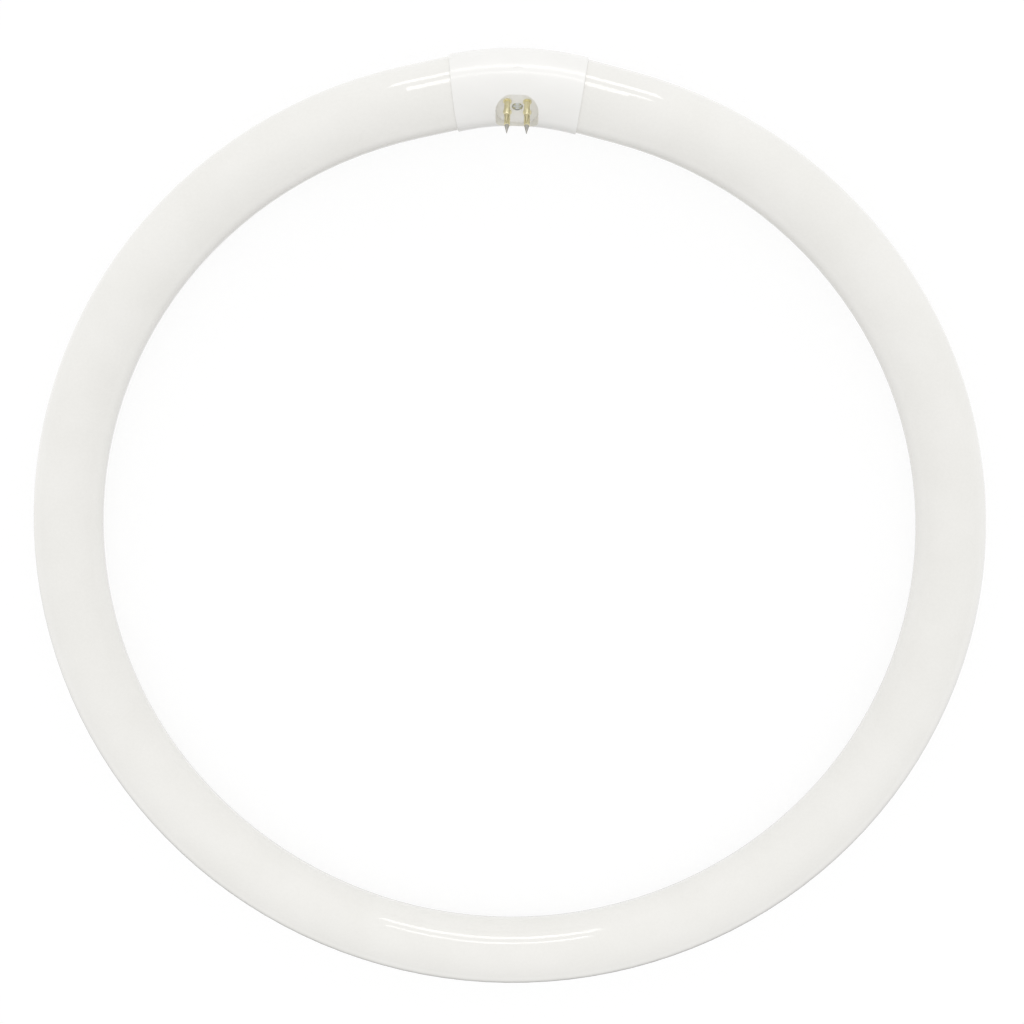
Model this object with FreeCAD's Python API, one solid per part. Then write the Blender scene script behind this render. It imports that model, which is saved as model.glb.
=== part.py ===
"""Circular fluorescent lamp with a four-pin cap.

A 29 mm glass tube is bent into a ring of 406 mm and closed by a moulded cap in two halves. The ring
lies in the XY plane with its centre at the origin, the cap is on the +Y side, and the contact pins
lean from +Z towards the middle of the ring. All sizes are in millimetres.
"""
import FreeCAD, Part
import math
import os

os.makedirs("parts", exist_ok=True)

V = FreeCAD.Vector

# Glass ring: an arc that runs out into a short straight length at each end
overall_diameter = 406.0
tube_diameter = 29.0
tube_straight = 17.5      # straight glass between the arc and the middle of the cap's mouth
tube_seat = 9.5           # length of each tube end inside the cap

# Sealed tube end: rounded shoulder, flared stem let into the end, sealed exhaust tip in its middle
shoulder_radius = 5.0
stem_mouth_diameter = 16.6
stem_floor_diameter = 9.0
stem_depth = 12.0
exhaust_tip_diameter = 4.0
exhaust_tip_inset = 2.0   # how far the tip stays below the end of the tube

# Cap: two half shells that meet on the plane through the rivet's middle
cap_length = 51.5         # between the middles of its two mouths, which face the ring's centre edge on
cap_wall = 0.6            # collar that holds the tube
cap_crown_wall = 1.1      # wall between the collars
collar_length = 7.5
mouth_rounding = 0.3
tube_clearance = 0.1      # round the tube in its collar

# Pin pocket: a flat-floored recess with rounded corners, turned about the tube from +Z towards the
# ring's middle
pin_tilt = 51.0
pocket_along = 17.0       # along the tube
pocket_across = 18.7      # across the tube
pocket_corner = 6.2
pocket_depth = 5.2        # below the crown of the cap
pocket_rim = 1.0          # wall beside the pocket
pin_plate = 2.4           # plastic that the pins pass through

# Contact pins: hollow brass, on a rectangle
pin_diameter = 2.36
pin_bore = 1.2
pin_length = 7.0          # above the pocket's floor
pin_pitch_along = 7.92    # along the tube
pin_pitch_across = 6.35   # across the tube
pin_edge_radius = 0.22
pin_hole_clearance = 0.02
flange_diameter = 3.4     # collar that stands on the pocket's floor
flange_thickness = 0.5
flange_edge_radius = 0.15
tail_diameter = 3.0       # rolled tail under the plate
tail_thickness = 0.4

# Solder that closes each pin and ends in a drawn-out point
solder_plug_depth = 1.6
solder_point_diameter = 2.0
solder_point_length = 3.9
solder_point_end = 0.3    # diameter where the point stops

# Rivet that clamps the two half shells, with the boss round it
rivet_diameter = 2.4
rivet_hole_clearance = 0.1
rivet_head_diameter = 4.5
rivet_head_height = 1.1
rivet_tail_diameter = 4.8
rivet_tail_height = 1.1
rivet_tail_depth = 1.7    # tail's seat below the cap's back
rivet_tail_clearance = 0.2
boss_diameter = 6.6
spigot_diameter = 4.4
spigot_length = 1.0
spigot_clearance = 0.05

# Lead-in wires from the tube's stems to the pins
wire_diameter = 0.6
wire_offset = 3.1         # from the stem's middle
wire_lead_out = 2.2       # straight length past the end of the tube
wire_bend_radius = 2.2
wire_drop = 4.8           # where a wire turns up into its pin, below the plate

# Oblong gate mark on the outer side of the pin half
gate_length = 3.6
gate_width = 1.8
gate_depth = 0.15
gate_turn = 25.0          # from +Z away from the ring's middle

# Worked out from the sizes above
tube_radius = tube_diameter / 2
ring_radius = overall_diameter / 2 - tube_radius
cap_radius = tube_radius + tube_clearance + cap_wall
cap_angle = (math.asin(cap_length / 2 / math.hypot(ring_radius, tube_straight))
             + math.atan2(tube_straight, ring_radius))
path_radius = cap_length / 2 / math.sin(cap_angle)
mouth = V(cap_length / 2, ring_radius * math.cos(cap_angle) + tube_straight * math.sin(cap_angle), 0)
path_centre = V(0, mouth.y - path_radius * math.cos(cap_angle), 0)
crown = path_centre + V(0, path_radius, 0)
mouth_angle = math.atan2(mouth.x, mouth.y)                 # of the mouth's plane, from +Y
inward = V(-math.cos(cap_angle), math.sin(cap_angle), 0)   # from the right-hand mouth into the cap
floor_height = cap_radius - pocket_depth
plate_height = floor_height - pin_plate
tail_seat = -(cap_radius - rivet_tail_depth)

# Pin frame: X along the tube, Y across it, Z out along the pins, from the middle of the cap's path
pin_frame = FreeCAD.Placement(crown, FreeCAD.Rotation(V(1, 0, 0), pin_tilt))
# Tube end frame: Z along the right-hand tube end into the cap, from the cap's mouth
end_frame = FreeCAD.Placement(mouth, FreeCAD.Rotation(V(0, 0, 1), inward))


def line(start, end):
    """Edge in the XZ plane between two (radius, height) points."""
    return Part.makeLine(V(start[0], 0, start[1]), V(end[0], 0, end[1]))


def arc(start, centre, end):
    """Short arc in the XZ plane about a centre, all (radius, height) points."""
    first = V(start[0] - centre[0], 0, start[1] - centre[1])
    last = V(end[0] - centre[0], 0, end[1] - centre[1])
    middle = first + last
    middle.normalize()
    middle = V(centre[0], 0, centre[1]) + middle * first.Length
    return Part.Arc(V(start[0], 0, start[1]), middle, V(end[0], 0, end[1])).toShape()


def dome(radius, height, base, up=1):
    """Arc of a low dome from its rim to its top on the Z axis."""
    sphere = (radius * radius + height * height) / (2 * height)
    rim = (radius, base)
    top = (0, base + up * height)
    return arc(rim, (0, base + up * (height - sphere)), top)


def turned(edges):
    """Solid turned about Z from a closed outline."""
    return Part.Face(Part.Wire(edges)).revolve(V(0, 0, 0), V(0, 0, 1), 360)


def bent_rod(radius, bend, centre, half_angle):
    """Rod bent about a vertical axis, spread equally each side of +Y."""
    section = Part.Face(Part.Wire(Part.makeCircle(radius, V(bend, 0, 0), V(0, 1, 0))))
    rod = section.revolve(V(0, 0, 0), V(0, 0, 1), 2 * half_angle)
    rod.rotate(V(0, 0, 0), V(0, 0, 1), 90 - half_angle)
    rod.translate(centre)
    return rod


def placed(shape, frame):
    """Copy of a shape moved into a frame."""
    copy = shape.copy()
    copy.transformShape(frame.toMatrix(), True)
    return copy


def mirrored(shape):
    """The same shape on the other side of the cap."""
    return shape.mirror(V(0, 0, 0), V(1, 0, 0))


def tube_end():
    """Straight end of the glass, with its shoulder, flared stem and exhaust tip, in the end frame."""
    end = tube_seat
    stem_floor = end - stem_depth
    tip_radius = exhaust_tip_diameter / 2
    tip_top = end - exhaust_tip_inset
    tip_shoulder = tip_top - tip_radius
    start = (0, -tube_straight)
    return turned([
        line(start, (tube_radius, -tube_straight)),
        line((tube_radius, -tube_straight), (tube_radius, end - shoulder_radius)),
        arc((tube_radius, end - shoulder_radius), (tube_radius - shoulder_radius, end - shoulder_radius),
            (tube_radius - shoulder_radius, end)),
        line((tube_radius - shoulder_radius, end), (stem_mouth_diameter / 2, end)),
        line((stem_mouth_diameter / 2, end), (stem_floor_diameter / 2, stem_floor)),
        line((stem_floor_diameter / 2, stem_floor), (tip_radius, stem_floor)),
        line((tip_radius, stem_floor), (tip_radius, tip_shoulder)),
        arc((tip_radius, tip_shoulder), (0, tip_shoulder), (0, tip_top)),
        line((0, tip_top), start),
    ])


def glass_tube():
    """The bent tube with both sealed ends, one closed glass body."""
    ring = bent_rod(tube_radius, ring_radius, V(0, 0, 0), 180 - math.degrees(cap_angle))
    ring.rotate(V(0, 0, 0), V(0, 0, 1), 180)
    right = placed(tube_end(), end_frame)
    return ring.fuse([right, mirrored(right)]).removeSplitter()


def cap_outside():
    """Outer form of the cap: a bent rod trimmed by planes through the ring's axis, with rounded mouths."""
    overrun = math.asin(cap_radius / path_radius)
    rod = bent_rod(cap_radius, path_radius, path_centre, math.degrees(cap_angle + overrun))
    wedge = Part.makeCylinder(overall_diameter, 4 * cap_radius, V(0, 0, -2 * cap_radius), V(0, 0, 1),
                              math.degrees(2 * mouth_angle))
    wedge.rotate(V(0, 0, 0), V(0, 0, 1), 90 - math.degrees(mouth_angle))
    body = rod.common(wedge)
    mouths = [face for face in body.Faces if face.Surface.TypeId == "Part::GeomPlane"]
    rims = [edge for face in mouths for edge in face.Edges if not edge.isSeam(face)]
    return body.makeFillet(mouth_rounding, rims)


def cap_cavity():
    """Room inside the cap: two collar bores and the space between them."""
    collar_angle = math.degrees(collar_length / path_radius)
    room = bent_rod(cap_radius - cap_crown_wall, path_radius, path_centre,
                    math.degrees(cap_angle) - collar_angle / 2)
    bore = Part.makeCylinder(tube_radius + tube_clearance, 2 * collar_length, V(0, 0, -collar_length))
    right = placed(bore, end_frame)
    return room.fuse([right, mirrored(right)])


def half_space(up):
    """Block on one side of the cap's split, in the pin frame."""
    reach = cap_length
    block = Part.makeBox(2 * reach, 2 * reach, reach, V(-reach, -reach, 0 if up else -reach))
    return placed(block, pin_frame)


def pin_places():
    """Middles of the four pins in the pin frame, outer pair first."""
    places = []
    for across in (pin_pitch_across / 2, -pin_pitch_across / 2):
        for along in (-pin_pitch_along / 2, pin_pitch_along / 2):
            places.append((along, across))
    return places


def rounded_block(along, across, corner, low, height):
    """Upright block with rounded corners, centred on the pin frame's middle."""
    block = Part.makeBox(along, across, height, V(-along / 2, -across / 2, low))
    upright = [edge for edge in block.Edges if abs(edge.tangentAt(edge.FirstParameter).z) > 0.5]
    return block.makeFillet(corner, upright)


def gate_mark():
    """Shallow oblong left by the mould's gate."""
    flat = gate_length - gate_width
    start = cap_radius - gate_depth
    pad = Part.makeBox(flat, gate_width, cap_wall, V(-flat / 2, -gate_width / 2, start))
    ends = [Part.makeCylinder(gate_width / 2, cap_wall, V(side * flat / 2, 0, start)) for side in (-1, 1)]
    frame = FreeCAD.Placement(crown, FreeCAD.Rotation(V(1, 0, 0), -gate_turn))
    return placed(pad.fuse(ends), frame)


def cap_pin_half(outside, cavity):
    """Half shell with the pin pocket, its plate and the boss with a spigot."""
    shell = outside.cut(cavity)
    pocket = rounded_block(pocket_along, pocket_across, pocket_corner, floor_height, cap_radius)
    plate = rounded_block(pocket_along + 2 * pocket_rim, pocket_across + 2 * pocket_rim,
                          pocket_corner + pocket_rim, plate_height, cap_radius)
    half = shell.common(half_space(True)).fuse(placed(plate, pin_frame).common(outside))
    boss = Part.makeCylinder(boss_diameter / 2, plate_height + pin_plate / 2)
    spigot = Part.makeCylinder(spigot_diameter / 2, 2 * spigot_length, V(0, 0, -spigot_length))
    half = half.fuse([placed(boss, pin_frame), placed(spigot, pin_frame)])
    pin_hole = pin_diameter / 2 + pin_hole_clearance
    rivet_hole = rivet_diameter / 2 + rivet_hole_clearance
    cuts = [pocket, Part.makeCylinder(rivet_hole, 2 * cap_radius, V(0, 0, -cap_radius))]
    for along, across in pin_places():
        start = V(along, across, plate_height - pin_plate / 2)
        cuts.append(Part.makeCylinder(pin_hole, 2 * pin_plate, start))
    return half.cut([placed(cut, pin_frame) for cut in cuts] + [gate_mark()]).removeSplitter()


def cap_back_half(outside, cavity):
    """Plain half shell with the boss that takes the spigot and the rivet's tail."""
    shell = outside.cut(cavity).common(half_space(False))
    boss = Part.makeCylinder(boss_diameter / 2, cap_radius - cap_crown_wall / 2,
                             V(0, 0, cap_crown_wall / 2 - cap_radius))
    half = shell.fuse(placed(boss, pin_frame))
    rivet_hole = rivet_diameter / 2 + rivet_hole_clearance
    tail_hole = (rivet_tail_diameter + rivet_tail_clearance) / 2
    socket_depth = spigot_length + spigot_clearance
    cuts = [
        Part.makeCylinder(rivet_hole, 2 * cap_radius, V(0, 0, -cap_radius)),
        Part.makeCylinder(tail_hole, cap_radius, V(0, 0, tail_seat - cap_radius)),
        Part.makeCylinder(spigot_diameter / 2 + spigot_clearance, 2 * socket_depth, V(0, 0, -socket_depth)),
    ]
    return half.cut([placed(cut, pin_frame) for cut in cuts]).removeSplitter()


def contact_pin():
    """Hollow pin with its flange on the floor and its tail rolled under the plate."""
    radius = pin_diameter / 2
    bore = pin_bore / 2
    flange = flange_diameter / 2
    tail = tail_diameter / 2
    top = floor_height + pin_length
    flange_top = floor_height + flange_thickness
    tail_low = plate_height - tail_thickness
    edge = pin_edge_radius
    rim = flange_edge_radius
    return turned([
        line((bore, tail_low), (tail, tail_low)),
        line((tail, tail_low), (tail, plate_height)),
        line((tail, plate_height), (radius, plate_height)),
        line((radius, plate_height), (radius, floor_height)),
        line((radius, floor_height), (flange, floor_height)),
        line((flange, floor_height), (flange, flange_top - rim)),
        arc((flange, flange_top - rim), (flange - rim, flange_top - rim), (flange - rim, flange_top)),
        line((flange - rim, flange_top), (radius, flange_top)),
        line((radius, flange_top), (radius, top - edge)),
        arc((radius, top - edge), (radius - edge, top - edge), (radius - edge, top)),
        line((radius - edge, top), (bore, top)),
        line((bore, top), (bore, tail_low)),
    ])


def solder_point():
    """Solder plug that ends in a drawn-out point."""
    top = floor_height + pin_length
    low = top - solder_plug_depth
    bore = pin_bore / 2
    root = solder_point_diameter / 2
    tip = solder_point_end / 2
    high = top + solder_point_length
    return turned([
        line((0, low), (bore, low)),
        line((bore, low), (bore, top)),
        line((bore, top), (root, top)),
        line((root, top), (tip, high - tip)),
        arc((tip, high - tip), (0, high - tip), (0, high)),
        line((0, high), (0, low)),
    ])


def clamp_rivet():
    """Rivet with a domed head on the pocket's floor and a formed tail at the back."""
    shank = rivet_diameter / 2
    head = rivet_head_diameter / 2
    tail = rivet_tail_diameter / 2
    head_top = floor_height + rivet_head_height
    tail_low = tail_seat - rivet_tail_height
    return turned([
        line((0, head_top), (0, tail_low)),
        dome(tail, rivet_tail_height, tail_seat, up=-1),
        line((tail, tail_seat), (shank, tail_seat)),
        line((shank, tail_seat), (shank, floor_height)),
        line((shank, floor_height), (head, floor_height)),
        dome(head, rivet_head_height, floor_height),
    ])


def rounded_path(points, bend):
    """Wire through the points, with a tangent arc at each corner."""
    edges = []
    start = points[0]
    for before, corner, after in zip(points, points[1:], points[2:]):
        back = (before - corner).normalize()
        ahead = (after - corner).normalize()
        half = back.getAngle(ahead) / 2
        reach = bend / math.tan(half)
        bisector = (back + ahead).normalize()
        middle = corner + bisector * (bend / math.sin(half) - bend)
        edges.append(Part.makeLine(start, corner + back * reach))
        edges.append(Part.Arc(corner + back * reach, middle, corner + ahead * reach).toShape())
        start = corner + ahead * reach
    edges.append(Part.makeLine(start, points[-1]))
    return Part.Wire(edges)


def lead_wire(along, across):
    """Wire from the stem's floor on the pin's own side up into the pin."""
    side = 1 if along > 0 else -1
    axis = V(side * inward.x, inward.y, 0)
    edge = V(side * mouth.x, mouth.y, 0)
    outward = pin_frame.Rotation.multVec(V(0, math.copysign(1, across), 0))
    outward = (outward - axis * outward.dot(axis)).normalize()
    stem = edge + axis * (tube_seat - stem_depth) + outward * wire_offset
    bend_out = edge + axis * (tube_seat + wire_lead_out) + outward * wire_offset
    bend_up = pin_frame.multVec(V(along, across, plate_height - wire_drop))
    end = pin_frame.multVec(V(along, across, floor_height + pin_length - solder_plug_depth))
    path = rounded_path([stem, bend_out, bend_up, end], wire_bend_radius)
    section = Part.Wire(Part.makeCircle(wire_diameter / 2, stem, axis))
    return path.makePipeShell([section], True, False)


def save(shape, node):
    """Write one node, after a test that it is sound."""
    if not shape.isValid() or not shape.Solids:
        raise ValueError(node + " is not a sound solid")
    shape.exportStep("parts/" + node + ".step")
    box = shape.BoundBox
    print(node, len(shape.Solids), round(shape.Volume, 2),
          [round(value, 2) for value in (box.XMin, box.YMin, box.ZMin, box.XMax, box.YMax, box.ZMax)])


def main():
    """Build and write every piece."""
    outside = cap_outside()
    cavity = cap_cavity()
    save(glass_tube(), "glass_tube")
    save(cap_pin_half(outside, cavity), "cap_pin_half")
    save(cap_back_half(outside, cavity), "cap_back_half")
    save(placed(clamp_rivet(), pin_frame), "clamp_rivet")
    for number, (along, across) in enumerate(pin_places(), start=1):
        shift = V(along, across, 0)
        pieces = {"contact_pin": contact_pin(), "solder_tip": solder_point()}
        for name, shape in pieces.items():
            shape.translate(shift)
            save(placed(shape, pin_frame), name + "_" + str(number))
        save(lead_wire(along, across), "lead_wire_" + str(number))


main()
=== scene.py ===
"""Looks of a circular fluorescent lamp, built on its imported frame.

The lamp lies flat with its ring's middle at the origin, the cap on the +Y side and the contact pins
leaning from +Z towards the middle. Each group of pieces has an operator that gives it its finish, and
the last operator sets the floor, the light and the camera. Lengths are in metres.
"""

import math

import bmesh
import bpy
from bpy.props import FloatProperty, FloatVectorProperty, PointerProperty
from mathutils import Matrix, Vector


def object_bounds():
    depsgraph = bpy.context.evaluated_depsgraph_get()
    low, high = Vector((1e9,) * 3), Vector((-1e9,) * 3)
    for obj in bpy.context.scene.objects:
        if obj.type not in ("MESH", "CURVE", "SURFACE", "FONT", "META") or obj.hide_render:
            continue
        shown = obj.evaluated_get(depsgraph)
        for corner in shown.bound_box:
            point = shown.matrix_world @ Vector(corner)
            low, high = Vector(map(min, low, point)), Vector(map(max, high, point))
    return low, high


bl_info = {
    "name": "Circular Fluorescent Lamp",
    "version": (1, 0, 0),
    "blender": (4, 5, 0),
    "location": "View3D > Sidebar > Ring Lamp",
    "description": "Finishes, floor, light and camera for a circular fluorescent lamp with a four-pin cap",
    "category": "Object",
}

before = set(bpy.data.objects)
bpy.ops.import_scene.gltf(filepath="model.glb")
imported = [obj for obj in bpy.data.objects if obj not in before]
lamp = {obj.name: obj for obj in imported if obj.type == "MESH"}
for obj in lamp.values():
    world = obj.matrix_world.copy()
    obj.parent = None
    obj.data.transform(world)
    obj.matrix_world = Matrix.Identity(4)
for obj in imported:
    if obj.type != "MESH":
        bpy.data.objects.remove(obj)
cad_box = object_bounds()

CAP_HALVES = ("cap_pin_half", "cap_back_half")
PINS = tuple(f"contact_pin_{number}" for number in range(1, 5))
OUTER_TIPS = ("solder_tip_1", "solder_tip_2")
INNER_TIPS = ("solder_tip_3", "solder_tip_4")
WIRES = tuple(f"lead_wire_{number}" for number in range(1, 5))

GLASS_IOR = 1.5
PLASTIC_IOR = 1.49
SENSOR_WIDTH = 36.0                # millimetres
FLOW_STRETCH = (0.5, 1.0, 1.0)     # flow marks are twice as long along the cap
PLAIN_WHITE = 1.0                  # radiance that shows as white
WHOLE_SHARE = 1.0                  # share that leaves nothing of what it is mixed with
HALFWAY_SLANT = 0.5                # product of a direction's Y and Z at 45 degrees


class GlassSettings(bpy.types.PropertyGroup):
    """Finish of the coated glass tube."""

    coating: FloatVectorProperty(
        name="Coating", description="Colour of the powder coating inside the glass", subtype="COLOR",
        size=3, min=0, max=1, default=(0.955, 0.944, 0.91))
    thin_coating: FloatVectorProperty(
        name="Thin coating", description="Colour where the powder lies thinner", subtype="COLOR",
        size=3, min=0, max=1, default=(0.935, 0.924, 0.888))
    coating_roughness: FloatProperty(
        name="Coating roughness", description="Roughness of the powder", default=0.75, min=0, max=1)
    patch_size: FloatProperty(
        name="Patch size", description="Width of the thicker and thinner patches of powder",
        unit="LENGTH", default=0.022, min=0.001)
    grain_size: FloatProperty(
        name="Grain size", description="Width of the powder's fine mottling", unit="LENGTH",
        default=0.0012, min=0.0001)
    grain_shade: FloatProperty(
        name="Grain shade", description="Brightness of the mottling's darker spots", default=0.985,
        min=0, max=1)
    gloss_roughness: FloatProperty(
        name="Glass roughness", description="Roughness of the glass over the coating", default=0.03,
        min=0, max=1)
    wave_size: FloatProperty(
        name="Wave size", description="Width of the slow waves left by bending the glass",
        unit="LENGTH", default=0.03, min=0.001)
    wave_height: FloatProperty(
        name="Wave height", description="Height of those slow waves", unit="LENGTH", default=0.000006,
        min=0)


class CapSettings(bpy.types.PropertyGroup):
    """Finish of the moulded cap."""

    plastic: FloatVectorProperty(
        name="Plastic", description="Colour of the moulded plastic", subtype="COLOR", size=3, min=0,
        max=1, default=(0.975, 0.967, 0.945))
    shade: FloatVectorProperty(
        name="Flow shade", description="Colour of the faint flow marks in the plastic", subtype="COLOR",
        size=3, min=0, max=1, default=(0.96, 0.952, 0.928))
    roughness: FloatProperty(
        name="Roughness", description="Roughness of the plastic's broad sheen", default=0.45, min=0,
        max=1)
    roughness_spread: FloatProperty(
        name="Roughness spread", description="How far the grain moves that roughness", default=0.035,
        min=0, max=0.5)
    skin_gloss: FloatProperty(
        name="Skin gloss", description="Share of the smooth skin left by the polished mould",
        default=0.5, min=0, max=1)
    skin_roughness: FloatProperty(
        name="Skin roughness", description="Roughness of that smooth skin", default=0.13, min=0, max=1)
    flow_size: FloatProperty(
        name="Flow size", description="Width of the flow marks", unit="LENGTH", default=0.009,
        min=0.0001)
    grain_size: FloatProperty(
        name="Grain size", description="Width of the mould's fine grain", unit="LENGTH", default=0.0004,
        min=0.00001)
    grain_height: FloatProperty(
        name="Grain height", description="Height of the mould's fine grain", unit="LENGTH",
        default=0.000006, min=0)


class MetalSettings(bpy.types.PropertyGroup):
    """Finishes of the pins, the solder, the rivet and the wires."""

    brass: FloatVectorProperty(
        name="Brass", description="Colour of the drawn brass pins", subtype="COLOR", size=3, min=0,
        max=1, default=(0.91, 0.85, 0.575))
    brass_roughness: FloatProperty(
        name="Brass roughness", description="Roughness of the drawn brass", default=0.3, min=0, max=1)
    solder: FloatVectorProperty(
        name="Solder", description="Colour of the solder on the inner pins' ends", subtype="COLOR",
        size=3, min=0, max=1, default=(0.57, 0.56, 0.53))
    # Painted shade: the outer pins' ends carry the same solder as the inner ones, coloured darker and
    # browner for the shade that falls there.
    painted_shade_solder: FloatVectorProperty(
        name="Shade_painted solder",
        description="Colour of the solder on the outer pins' ends, brown with painted_shade", subtype="COLOR",
        size=3, min=0, max=1, default=(0.56, 0.51, 0.33))
    solder_roughness: FloatProperty(
        name="Solder roughness", description="Roughness of the dull solder", default=0.6, min=0, max=1)
    zinc: FloatVectorProperty(
        name="Zinc plate", description="Colour of the plated rivet", subtype="COLOR", size=3, min=0,
        max=1, default=(0.63, 0.645, 0.61))
    zinc_roughness: FloatProperty(
        name="Zinc roughness", description="Roughness of the plated rivet", default=0.22, min=0, max=1)
    nickel: FloatVectorProperty(
        name="Nickel", description="Colour of the lead-in wires", subtype="COLOR", size=3, min=0, max=1,
        default=(0.66, 0.63, 0.58))
    nickel_roughness: FloatProperty(
        name="Nickel roughness", description="Roughness of the lead-in wires", default=0.3, min=0,
        max=1)
    tarnish_size: FloatProperty(
        name="Tarnish size", description="Width of the tarnished spots", unit="LENGTH", default=0.0018,
        min=0.0001)
    tarnish_shade: FloatProperty(
        name="Tarnish shade", description="Brightness of the tarnished spots", default=0.87, min=0,
        max=1)
    tarnish_spread: FloatProperty(
        name="Tarnish spread", description="How much rougher the tarnish makes the metal", default=0.08,
        min=0, max=0.5)
    scratch_size: FloatProperty(
        name="Scratch size", description="Width of the fine scratches", unit="LENGTH", default=0.0003,
        min=0.00001)
    scratch_height: FloatProperty(
        name="Scratch height", description="Depth of the fine scratches", unit="LENGTH",
        default=0.000004, min=0)


class StageSettings(bpy.types.PropertyGroup):
    """Floor, light and camera."""

    camera_place: FloatVectorProperty(
        name="Camera place", description="Where the camera stands", subtype="XYZ", unit="LENGTH",
        size=3, default=(0.01331, 0.16679, 0.66454))
    camera_aim: FloatVectorProperty(
        name="Camera aim", description="Point at the middle of the picture", subtype="XYZ",
        unit="LENGTH", size=3, default=(0.00177, 0.01543, 0.0))
    camera_turn: FloatProperty(
        name="Camera turn", description="Turn of the picture's upright from +Y", subtype="ANGLE",
        unit="ROTATION", default=math.radians(1.386))
    lens: FloatProperty(
        name="Lens", description="Focal length in millimetres on a 36 mm sensor", default=56.25, min=1)
    floor_size: FloatProperty(
        name="Floor size", description="Width of the floor", unit="LENGTH", default=40.0)
    floor_colour: FloatVectorProperty(
        name="Floor", description="Colour of the floor", subtype="COLOR", size=3, min=0, max=1,
        default=(0.9, 0.9, 0.9))
    white_share: FloatProperty(
        name="White share",
        description="Share of plain white in what the camera sees of the floor, the rest being its "
                    "lit colour", default=0.82, min=0, max=1)
    white_level: FloatProperty(
        name="White level", description="Strength of that plain white", default=1.05, min=0)
    front_shade: FloatProperty(
        name="Front shade",
        description="How much darker gloss and metal show the floor, halfway down towards the "
                    "front, than that plain white", default=1.0, min=0)
    shade_focus: FloatProperty(
        name="Shade focus", description="How fast that shade fades away from its middle", default=2.0,
        min=0)
    mirrored_share: FloatProperty(
        name="Mirrored share",
        description="Share of plain white in what gloss and metal show of the room", default=0.4, min=0,
        max=1)
    room_level: FloatProperty(
        name="Room light", description="Strength of the room's even light", default=0.87, min=0)
    room_slope: FloatProperty(
        name="Room slope",
        description="How much brighter the room is behind the cap, and darker in front of the lamp",
        default=0.22, min=0)
    front_glow: FloatProperty(
        name="Front glow",
        description="Strength of a broad soft glow high in front of the lamp, which reaches into "
                    "the pin pocket", default=0.18, min=0)
    glow_from: FloatVectorProperty(
        name="Glow from", description="Direction of the glow's middle", subtype="XYZ", size=3,
        default=(0.0, -1.2, 1.0))
    glow_focus: FloatProperty(
        name="Glow focus", description="How fast the glow fades away from its middle", default=4.0,
        min=0)
    strip_level: FloatProperty(
        name="Strip radiance",
        description="Radiance of the two long lights behind the cap, where 1 is white", default=3.8,
        min=0)
    high_place: FloatVectorProperty(
        name="High light place", description="Middle of the higher long light", subtype="XYZ",
        unit="LENGTH", size=3, default=(0.0, 1.425, 1.375))
    high_size: FloatVectorProperty(
        name="High light size", description="Length and depth of the higher long light", unit="LENGTH",
        size=2, default=(1.0, 0.2))
    low_place: FloatVectorProperty(
        name="Low light place", description="Middle of the lower long light", subtype="XYZ",
        unit="LENGTH", size=3, default=(0.0, 1.720, 0.769))
    low_size: FloatVectorProperty(
        name="Low light size", description="Length and depth of the lower long light", unit="LENGTH",
        size=2, default=(1.25, 0.3))


class LampSettings(bpy.types.PropertyGroup):
    """All settings of the lamp."""

    glass: PointerProperty(type=GlassSettings)
    cap: PointerProperty(type=CapSettings)
    metal: PointerProperty(type=MetalSettings)
    stage: PointerProperty(type=StageSettings)


def new_material(name):
    """Empty node material with its output, and its shader tree."""
    material = bpy.data.materials.new(name)
    material.use_nodes = True
    material.node_tree.nodes.clear()
    output = material.node_tree.nodes.new("ShaderNodeOutputMaterial")
    return material, material.node_tree, output


def surface(tree, output, **sockets):
    """Principled surface joined to the output, with plain values on its own sockets."""
    shader = tree.nodes.new("ShaderNodeBsdfPrincipled")
    for name, value in sockets.items():
        shader.inputs[name.replace("_", " ")].default_value = value
    tree.links.new(shader.outputs["BSDF"], output.inputs["Surface"])
    return shader


def noise(tree, size, detail=2.0, stretch=(1, 1, 1)):
    """Noise on the piece's own coordinates, with features of about the given size."""
    place = tree.nodes.new("ShaderNodeTexCoord")
    scale = tree.nodes.new("ShaderNodeMapping")
    scale.inputs["Scale"].default_value = [part / size for part in stretch]
    texture = tree.nodes.new("ShaderNodeTexNoise")
    texture.inputs["Scale"].default_value = 1.0
    texture.inputs["Detail"].default_value = detail
    tree.links.new(place.outputs["Object"], scale.inputs["Vector"])
    tree.links.new(scale.outputs["Vector"], texture.inputs["Vector"])
    return texture.outputs["Fac"]


def blend_colours(tree, factor, first, second, low=0.35, high=0.65):
    """Colour that goes from the first to the second as the factor goes from low to high."""
    ramp = tree.nodes.new("ShaderNodeValToRGB")
    ramp.color_ramp.elements[0].position = low
    ramp.color_ramp.elements[0].color = (*first, 1)
    ramp.color_ramp.elements[1].position = high
    ramp.color_ramp.elements[1].color = (*second, 1)
    tree.links.new(factor, ramp.inputs["Fac"])
    return ramp.outputs["Color"]


def vary(tree, factor, low, high):
    """Number that goes from low to high with the factor."""
    span = tree.nodes.new("ShaderNodeMapRange")
    span.inputs["To Min"].default_value = low
    span.inputs["To Max"].default_value = high
    tree.links.new(factor, span.inputs["Value"])
    return span.outputs["Result"]


def bump(tree, height, distance):
    """Bump normal from a height pattern of the given depth."""
    node = tree.nodes.new("ShaderNodeBump")
    node.inputs["Distance"].default_value = distance
    tree.links.new(height, node.inputs["Height"])
    return node.outputs["Normal"]


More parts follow.
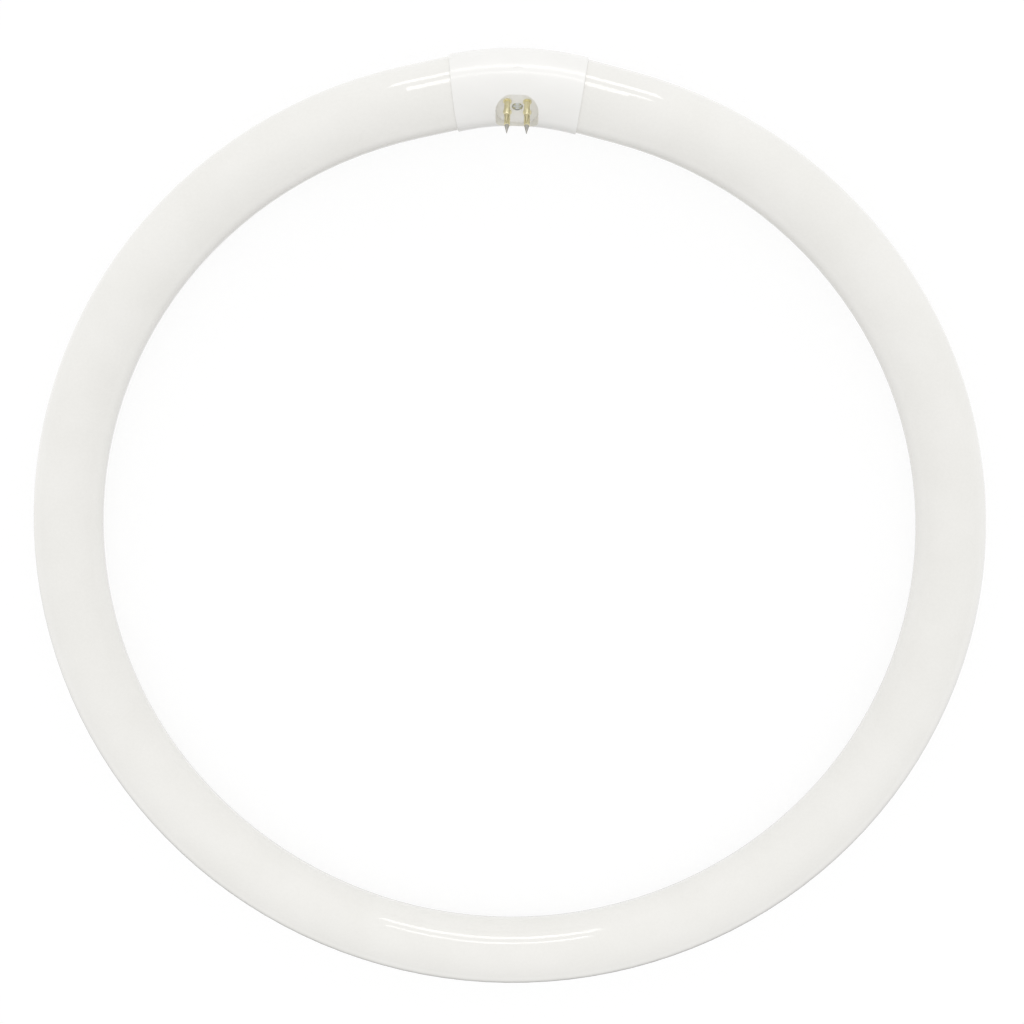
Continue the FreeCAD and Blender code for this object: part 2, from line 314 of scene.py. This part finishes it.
def coated_glass(glass):
    """White powder coating seen under clear glass."""
    material, tree, output = new_material("coated_glass_finish")
    shader = surface(
        tree, output, Roughness=glass.coating_roughness, Specular_IOR_Level=0.0, Coat_Weight=WHOLE_SHARE,
        Coat_Roughness=glass.gloss_roughness, Coat_IOR=GLASS_IOR)
    patches = noise(tree, glass.patch_size)
    colour = blend_colours(tree, patches, glass.coating, glass.thin_coating)
    grain = noise(tree, glass.grain_size, detail=3.0)
    white = (1, 1, 1)
    mottling = blend_colours(tree, grain, shaded(white, glass.grain_shade), white)
    mottled = tree.nodes.new("ShaderNodeMix")
    mottled.data_type = "RGBA"
    mottled.blend_type = "MULTIPLY"
    mottled.inputs["Factor"].default_value = WHOLE_SHARE
    tree.links.new(colour, mottled.inputs["A"])
    tree.links.new(mottling, mottled.inputs["B"])
    tree.links.new(mottled.outputs["Result"], shader.inputs["Base Color"])
    waves = noise(tree, glass.wave_size, detail=0.0)
    tree.links.new(bump(tree, waves, glass.wave_height), shader.inputs["Coat Normal"])
    return material


def moulded_plastic(cap):
    """Satin white plastic with faint flow marks and the mould's grain under its smooth skin."""
    material, tree, output = new_material("cap_plastic_finish")
    shader = surface(tree, output, Coat_Weight=cap.skin_gloss, Coat_Roughness=cap.skin_roughness,
                     Coat_IOR=PLASTIC_IOR)
    flow = noise(tree, cap.flow_size, detail=1.0, stretch=FLOW_STRETCH)
    tree.links.new(blend_colours(tree, flow, cap.plastic, cap.shade), shader.inputs["Base Color"])
    grain = noise(tree, cap.grain_size)
    sheen = vary(tree, grain, cap.roughness - cap.roughness_spread, cap.roughness + cap.roughness_spread)
    tree.links.new(sheen, shader.inputs["Roughness"])
    tree.links.new(bump(tree, grain, cap.grain_height), shader.inputs["Normal"])
    return material


def bare_metal(name, colour, roughness, metal):
    """Bare metal with faint tarnish and fine scratches."""
    material, tree, output = new_material(name)
    shader = surface(tree, output, Metallic=1.0)
    tarnish = noise(tree, metal.tarnish_size)
    tint = blend_colours(tree, tarnish, shaded(colour, metal.tarnish_shade), colour)
    tree.links.new(tint, shader.inputs["Base Color"])
    spread = metal.tarnish_spread
    dullness = vary(tree, tarnish, roughness + spread, roughness - spread / 2)
    tree.links.new(dullness, shader.inputs["Roughness"])
    scratches = noise(tree, metal.scratch_size, detail=1.0)
    tree.links.new(bump(tree, scratches, metal.scratch_height), shader.inputs["Normal"])
    return material


def calculate(tree, operation, *values):
    """Result of a sum on numbers and other nodes' results."""
    node = tree.nodes.new("ShaderNodeMath")
    node.operation = operation
    for socket, value in zip(node.inputs, values):
        if isinstance(value, bpy.types.NodeSocket):
            tree.links.new(value, socket)
        else:
            socket.default_value = value
    return node.outputs["Value"]


def shaded(colour, share):
    """The same colour, darker by a share."""
    return tuple(part * share for part in colour)


def dress(nodes, material):
    """Give the finish to pieces of the frame."""
    for node in nodes:
        slots = lamp[node].data.materials
        slots.clear()
        slots.append(material)


def settings():
    """The lamp's settings in this scene."""
    return bpy.context.scene.ring_lamp


class RINGLAMP_OT_glass_tube(bpy.types.Operator):
    """Give the ring its coated glass"""

    bl_idname = "ringlamp.glass_tube"
    bl_label = "Glass tube"

    def execute(self, context):
        dress(["glass_tube"], coated_glass(settings().glass))
        return {"FINISHED"}


class RINGLAMP_OT_cap(bpy.types.Operator):
    """Give both halves of the cap their moulded plastic"""

    bl_idname = "ringlamp.cap"
    bl_label = "Cap"

    def execute(self, context):
        dress(CAP_HALVES, moulded_plastic(settings().cap))
        return {"FINISHED"}


class RINGLAMP_OT_contact_pins(bpy.types.Operator):
    """Give the four pins their brass and their ends the solder"""

    bl_idname = "ringlamp.contact_pins"
    bl_label = "Contact pins"

    def execute(self, context):
        metal = settings().metal
        dull = metal.solder_roughness
        dress(PINS, bare_metal("pin_brass_finish", metal.brass, metal.brass_roughness, metal))
        dress(INNER_TIPS, bare_metal("solder_finish", metal.solder, dull, metal))
        # The outer pins' ends get a darker, browner copy of the solder: painted shade.
        dress(OUTER_TIPS, bare_metal("painted_shade_solder_finish", metal.painted_shade_solder, dull, metal))
        return {"FINISHED"}


class RINGLAMP_OT_clamp_rivet(bpy.types.Operator):
    """Give the rivet its zinc plate"""

    bl_idname = "ringlamp.clamp_rivet"
    bl_label = "Clamp rivet"

    def execute(self, context):
        metal = settings().metal
        dress(["clamp_rivet"], bare_metal("rivet_zinc_finish", metal.zinc, metal.zinc_roughness, metal))
        return {"FINISHED"}


class RINGLAMP_OT_lead_wires(bpy.types.Operator):
    """Give the lead-in wires their nickel"""

    bl_idname = "ringlamp.lead_wires"
    bl_label = "Lead-in wires"

    def execute(self, context):
        metal = settings().metal
        dress(WIRES, bare_metal("wire_nickel_finish", metal.nickel, metal.nickel_roughness, metal))
        return {"FINISHED"}


def by_ray(tree, seen, mirrored):
    """One number for what the camera sees, another for what gloss and glass show, and nought otherwise."""
    ray = tree.nodes.new("ShaderNodeLightPath").outputs
    gloss = calculate(tree, "MAXIMUM", ray["Is Glossy Ray"], ray["Is Transmission Ray"])
    direct = calculate(tree, "MULTIPLY", ray["Is Camera Ray"], seen)
    return calculate(tree, "MULTIPLY_ADD", gloss, mirrored, direct)


def floor_material(stage):
    """Pale floor that the camera sees as nearly plain white, with the lamp's shadow kept.

    Gloss and metal show it plain white too, but dark where they look halfway down towards the front, as
    they show a satin floor lit from behind the cap.
    """
    material, tree, output = new_material("floor_finish")
    way_back = tree.nodes.new("ShaderNodeSeparateXYZ")
    tree.links.new(tree.nodes.new("ShaderNodeNewGeometry").outputs["Incoming"], way_back.inputs["Vector"])
    slant = calculate(tree, "MULTIPLY", way_back.outputs["Y"], way_back.outputs["Z"])
    frontward = calculate(tree, "MAXIMUM", calculate(tree, "DIVIDE", slant, HALFWAY_SLANT), 0.0)
    shade = calculate(tree, "POWER", frontward, stage.shade_focus)
    mirrored_level = calculate(tree, "MULTIPLY_ADD", shade, -stage.front_shade, stage.white_level)
    lit = tree.nodes.new("ShaderNodeBsdfDiffuse")
    lit.inputs["Color"].default_value = (*stage.floor_colour, 1)
    white = tree.nodes.new("ShaderNodeEmission")
    white.inputs["Color"].default_value = (1, 1, 1, 1)
    tree.links.new(by_ray(tree, stage.white_level, mirrored_level), white.inputs["Strength"])
    mix = tree.nodes.new("ShaderNodeMixShader")
    tree.links.new(by_ray(tree, stage.white_share, WHOLE_SHARE), mix.inputs["Fac"])
    tree.links.new(lit.outputs["BSDF"], mix.inputs[1])
    tree.links.new(white.outputs["Emission"], mix.inputs[2])
    tree.links.new(mix.outputs["Shader"], output.inputs["Surface"])
    return material


def room_light(stage):
    """Room light, a little brighter behind the cap and darker in front, with a soft glow high in front.

    The camera sees the room as plain white, like the floor.
    """
    world = bpy.data.worlds.new("room")
    bpy.context.scene.world = world
    world.use_nodes = True
    tree = world.node_tree
    tree.nodes.clear()
    output = tree.nodes.new("ShaderNodeOutputWorld")
    light = tree.nodes.new("ShaderNodeBackground")
    light.inputs["Color"].default_value = (1, 1, 1, 1)
    direction = tree.nodes.new("ShaderNodeTexCoord").outputs["Generated"]
    parts = tree.nodes.new("ShaderNodeSeparateXYZ")
    tree.links.new(direction, parts.inputs["Vector"])
    even = calculate(tree, "MULTIPLY_ADD", parts.outputs["Y"], stage.room_slope, stage.room_level)
    towards_glow = tree.nodes.new("ShaderNodeVectorMath")
    towards_glow.operation = "DOT_PRODUCT"
    towards_glow.inputs[1].default_value = Vector(stage.glow_from).normalized()
    tree.links.new(direction, towards_glow.inputs[0])
    facing = calculate(tree, "MAXIMUM", towards_glow.outputs["Value"], 0.0)
    glow = calculate(tree, "POWER", facing, stage.glow_focus)
    room = calculate(tree, "MULTIPLY_ADD", glow, stage.front_glow, even)
    lack = calculate(tree, "SUBTRACT", PLAIN_WHITE, room)
    share = by_ray(tree, WHOLE_SHARE, stage.mirrored_share)
    tree.links.new(calculate(tree, "MULTIPLY_ADD", lack, share, room), light.inputs["Strength"])
    tree.links.new(light.outputs["Background"], output.inputs["Surface"])


def long_light(name, place, size, radiance):
    """Area lamp of a given radiance that faces the middle of the ring and shows in its gloss only."""
    data = bpy.data.lights.new(name, "AREA")
    data.shape = "RECTANGLE"
    data.size, data.size_y = size
    data.energy = radiance * math.pi * data.size * data.size_y
    strip = bpy.data.objects.new(name, data)
    strip.location = place
    strip.visible_diffuse = False
    strip.rotation_euler = (-Vector(place)).to_track_quat("-Z", "Y").to_euler()
    bpy.context.scene.collection.objects.link(strip)


def flat_floor(stage):
    """Floor at the height where the lamp rests."""
    grid = bmesh.new()
    bmesh.ops.create_grid(grid, x_segments=1, y_segments=1, size=stage.floor_size / 2)
    bmesh.ops.translate(grid, verts=grid.verts, vec=(0, 0, cad_box[0].z))
    mesh = bpy.data.meshes.new("floor")
    grid.to_mesh(mesh)
    grid.free()
    mesh.materials.append(floor_material(stage))
    floor = bpy.data.objects.new("floor", mesh)
    bpy.context.scene.collection.objects.link(floor)
    return floor


def photo_camera(stage):
    """Camera that looks down on the lamp as in the photograph."""
    back = (Vector(stage.camera_place) - Vector(stage.camera_aim)).normalized()
    upright = Vector((-math.sin(stage.camera_turn), math.cos(stage.camera_turn), 0))
    side = upright.cross(back).normalized()
    data = bpy.data.cameras.new("camera")
    data.lens = stage.lens
    data.sensor_width = SENSOR_WIDTH
    camera = bpy.data.objects.new("camera", data)
    turn = Matrix((side, back.cross(side), back)).transposed().to_4x4()
    camera.matrix_world = Matrix.Translation(stage.camera_place) @ turn
    bpy.context.scene.collection.objects.link(camera)
    return camera


class RINGLAMP_OT_stage(bpy.types.Operator):
    """Set the floor, the light and the camera"""

    bl_idname = "ringlamp.stage"
    bl_label = "Stage"

    def execute(self, context):
        stage = settings().stage
        flat_floor(stage)
        room_light(stage)
        long_light("high_strip", stage.high_place, stage.high_size, stage.strip_level)
        long_light("low_strip", stage.low_place, stage.low_size, stage.strip_level)
        context.scene.camera = photo_camera(stage)
        context.scene.view_settings.view_transform = "Standard"
        return {"FINISHED"}


OPERATORS = (
    RINGLAMP_OT_glass_tube,
    RINGLAMP_OT_cap,
    RINGLAMP_OT_contact_pins,
    RINGLAMP_OT_clamp_rivet,
    RINGLAMP_OT_lead_wires,
    RINGLAMP_OT_stage,
)


class RINGLAMP_PT_panel(bpy.types.Panel):
    """Panel with a button for each group of pieces"""

    bl_label = "Ring Lamp"
    bl_idname = "RINGLAMP_PT_panel"
    bl_space_type = "VIEW_3D"
    bl_region_type = "UI"
    bl_category = "Ring Lamp"

    def draw(self, context):
        for operator in OPERATORS:
            self.layout.operator(operator.bl_idname)


SETTINGS = (GlassSettings, CapSettings, MetalSettings, StageSettings, LampSettings)
CLASSES = (*SETTINGS, *OPERATORS, RINGLAMP_PT_panel)


def register():
    """Add the settings, the operators and the panel."""
    for entry in CLASSES:
        bpy.utils.register_class(entry)
    bpy.types.Scene.ring_lamp = PointerProperty(type=LampSettings)


def unregister():
    """Take them away again."""
    del bpy.types.Scene.ring_lamp
    for entry in reversed(CLASSES):
        bpy.utils.unregister_class(entry)


def main():
    """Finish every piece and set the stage."""
    register()
    bpy.ops.ringlamp.glass_tube()
    bpy.ops.ringlamp.cap()
    bpy.ops.ringlamp.contact_pins()
    bpy.ops.ringlamp.clamp_rivet()
    bpy.ops.ringlamp.lead_wires()
    bpy.ops.ringlamp.stage()


if __name__ == "__main__":
    main()
